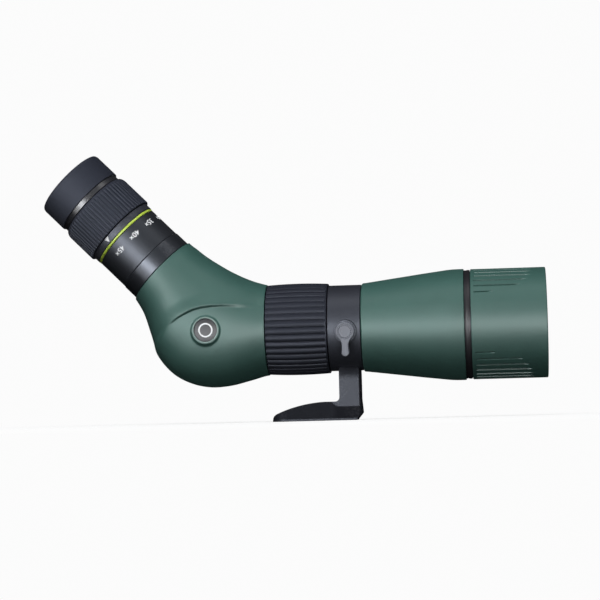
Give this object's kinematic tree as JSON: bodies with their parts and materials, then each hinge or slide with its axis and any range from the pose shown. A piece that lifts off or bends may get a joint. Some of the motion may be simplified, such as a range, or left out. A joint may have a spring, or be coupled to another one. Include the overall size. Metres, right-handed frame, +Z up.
{
  "type": "spotting scope",
  "caption": "Angled spotting scope with a ribbed focus ring, rotating tripod collar and foot, sliding hood, zoom eyepiece and twist-up eyecup.",
  "frame": {"origin": "centre of the tripod thread's mouth, on the flat face of the foot", "axes": "+X along the tube towards the objective, +Z up from the foot, -Y towards the side with the round badge and the collar lock lever"},
  "size_m": [0.3522, 0.0774, 0.1919],
  "materials": {
    "green_paint": "satin powder coat, deep green",
    "black_anodised": "fine satin black anodising",
    "grey_lever": "fine textured grey paint",
    "steel": "turned, bright",
    "cup_metal": "bright turned, dark anodised",
    "rubber": "smooth black rubber",
    "grip_rubber": "matt moulded rubber",
    "felt": "thin black felt strip",
    "optical_glass": "coated optical glass",
    "badge_black": "gloss black disc",
    "lime_ring": "glossy yellow-green ring",
    "dial_paint": "white paint of the power numbers",
    "shoe_plastic": "acetal pad"
  },
  "bodies": {
    "mount": {"collar_ring": "black_anodised", "foot": "black_anodised", "foot_screws": "steel", "tripod_bush": "steel"},
    "lock_lever": {"lock_lever": "grey_lever", "lock_screw": "steel", "lock_cap": "grey_lever"},
    "brake_shoe": {"brake_shoe": "shoe_plastic"},
    "scope": {"main_tube": "black_anodised", "tube_seals": "rubber", "front_barrel": "green_paint", "light_baffle": "black_anodised", "bumper_ring": "rubber", "objective_cell": "black_anodised", "hood_felt": "felt", "flint_lens": "optical_glass", "lens_spacer": "steel", "crown_lens": "optical_glass", "lens_ring": "black_anodised", "prism_housing": "green_paint", "roof_prism": "optical_glass", "prism_bracket": "black_anodised", "prism_clip": "steel", "bracket_screws": "steel", "badge_bezel": "green_paint", "badge_disc": "badge_black", "eyepiece_mount": "black_anodised", "eyepiece_seal": "rubber", "dial_barrel": "black_anodised", "eyepiece_tube": "black_anodised", "field_stop": "black_anodised", "field_lens": "optical_glass", "eyepiece_head": "black_anodised", "inner_eye_lens": "optical_glass", "eye_lens": "optical_glass", "eye_lens_ring": "black_anodised"},
    "focus_ring": {"focus_sleeve": "black_anodised", "focus_grip": "grip_rubber"},
    "focus_carriage": {"focus_cell": "black_anodised", "focus_lens": "optical_glass", "focus_pin": "steel"},
    "hood": {"hood": "green_paint"},
    "zoom_ring": {"zoom_sleeve": "black_anodised", "zoom_grip": "grip_rubber", "accent_ring": "lime_ring"},
    "variator": {"variator_cell": "black_anodised", "variator_lens": "optical_glass", "variator_pin": "steel"},
    "compensator": {"compensator_cell": "black_anodised", "compensator_lens": "optical_glass", "compensator_pin": "steel"},
    "eyecup_key": {"eyecup_key_ring": "black_anodised"},
    "eyecup": {"eyecup_sleeve": "cup_metal", "eyecup_pins": "steel", "eyecup_rubber": "grip_rubber"}
  },
  "joints": [
    {"name": "collar_turn", "type": "hinge", "parent": "mount", "child": "scope", "pos_m": [0.017, 0, 0.0644], "axis": [1, 0, 0], "continuous": true},
    {"name": "lock_turn", "type": "hinge", "parent": "mount", "child": "lock_lever", "pos_m": [0.018, -0.03381, 0.06085], "axis": [0, -0.9945, -0.1045], "range_deg": [0, 90]},
    {"name": "shoe_slide", "type": "slide", "parent": "mount", "child": "brake_shoe", "axis": [0, -0.9945, -0.1045], "range_m": [0, 0.00025]},
    {"name": "focus_turn", "type": "hinge", "parent": "scope", "child": "focus_ring", "pos_m": [-0.016, 0, 0.0644], "axis": [1, 0, 0], "range_deg": [-135, 135]},
    {"name": "focus_slide", "type": "slide", "parent": "scope", "child": "focus_carriage", "axis": [1, 0, 0], "range_m": [-0.006, 0.006]},
    {"name": "hood_slide", "type": "slide", "parent": "scope", "child": "hood", "axis": [1, 0, 0], "range_m": [0, 0.034]},
    {"name": "zoom_turn", "type": "hinge", "parent": "scope", "child": "zoom_ring", "pos_m": [-0.15113, 0, 0.14713], "axis": [-0.7071, 0, 0.7071], "range_deg": [0, 204]},
    {"name": "variator_slide", "type": "slide", "parent": "scope", "child": "variator", "axis": [-0.7071, 0, 0.7071], "range_m": [0, 0.008]},
    {"name": "compensator_slide", "type": "slide", "parent": "scope", "child": "compensator", "axis": [-0.7071, 0, 0.7071], "range_m": [-0.005, 0]},
    {"name": "eyecup_turn", "type": "hinge", "parent": "scope", "child": "eyecup_key", "pos_m": [-0.16739, 0, 0.1634], "axis": [-0.7071, 0, 0.7071], "range_deg": [0, 100]},
    {"name": "eyecup_rise", "type": "slide", "parent": "eyecup_key", "child": "eyecup", "axis": [-0.7071, 0, 0.7071], "range_m": [0, 0.009]}
  ],
  "couplings": [
    {"joint": "shoe_slide", "follows": "lock_turn", "m_per_rad": 0.00015915},
    {"joint": "focus_slide", "follows": "focus_turn", "m_per_rad": 0.0025465},
    {"joint": "variator_slide", "follows": "zoom_turn", "m_per_rad": 0.0022469},
    {"joint": "compensator_slide", "follows": "zoom_turn", "m_per_rad": -0.0014043},
    {"joint": "eyecup_rise", "follows": "eyecup_turn", "m_per_rad": 0.0051566}
  ]
}
